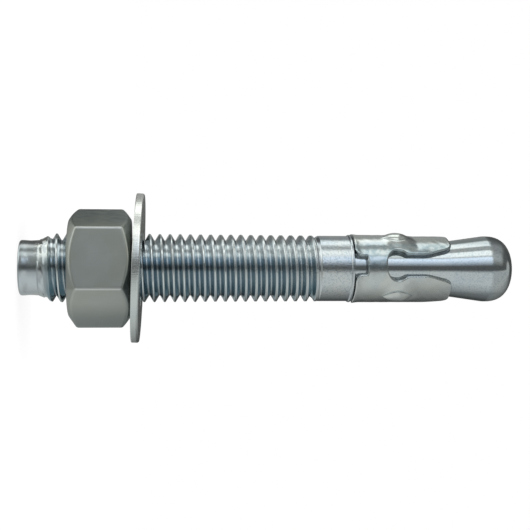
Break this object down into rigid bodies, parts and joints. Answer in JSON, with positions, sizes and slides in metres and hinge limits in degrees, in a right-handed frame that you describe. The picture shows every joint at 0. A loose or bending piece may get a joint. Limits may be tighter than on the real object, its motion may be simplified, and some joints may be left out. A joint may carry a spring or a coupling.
{
  "type": "wedge anchor",
  "caption": "Zinc-plated steel wedge anchor: threaded stud with a coned end, expansion clip on its neck, washer and hex nut, for fixing things to concrete.",
  "frame": {"origin": "centre of the flat face of the plain driving end, on which the anchor stands", "axes": "+Z along the stud from the driving end to the cone; -Y faces the first slot of the clip, nearly"},
  "size_m": [0.034, 0.034, 0.1132],
  "materials": {
    "stud_zinc": "bright zinc plating",
    "nut_zinc": "matte zinc plating",
    "washer_zinc": "satin zinc plating",
    "clip_zinc": "satin zinc plating"
  },
  "bodies": {
    "stud": {"stud": "stud_zinc"},
    "washer": {"flat_washer": "washer_zinc"},
    "nut": {"hex_nut": "nut_zinc"},
    "clip": {"expansion_clip": "clip_zinc"}
  },
  "joints": [
    {"name": "nut_travel", "type": "slide", "parent": "stud", "child": "washer", "axis": [0, 0, 1], "range_m": [-0.00924, 0.03926]},
    {"name": "nut_turn", "type": "hinge", "parent": "washer", "child": "nut", "pos_m": [0, 0, 0.0179], "axis": [0, 0, 1], "range_deg": [-1440, 6120]},
    {"name": "clip_turn", "type": "hinge", "parent": "stud", "child": "clip", "pos_m": [0, 0, 0.0866], "axis": [0, 0, 1], "continuous": true}
  ],
  "couplings": [
    {"joint": "nut_travel", "follows": "nut_turn", "m_per_rad": 0.0003675}
  ]
}
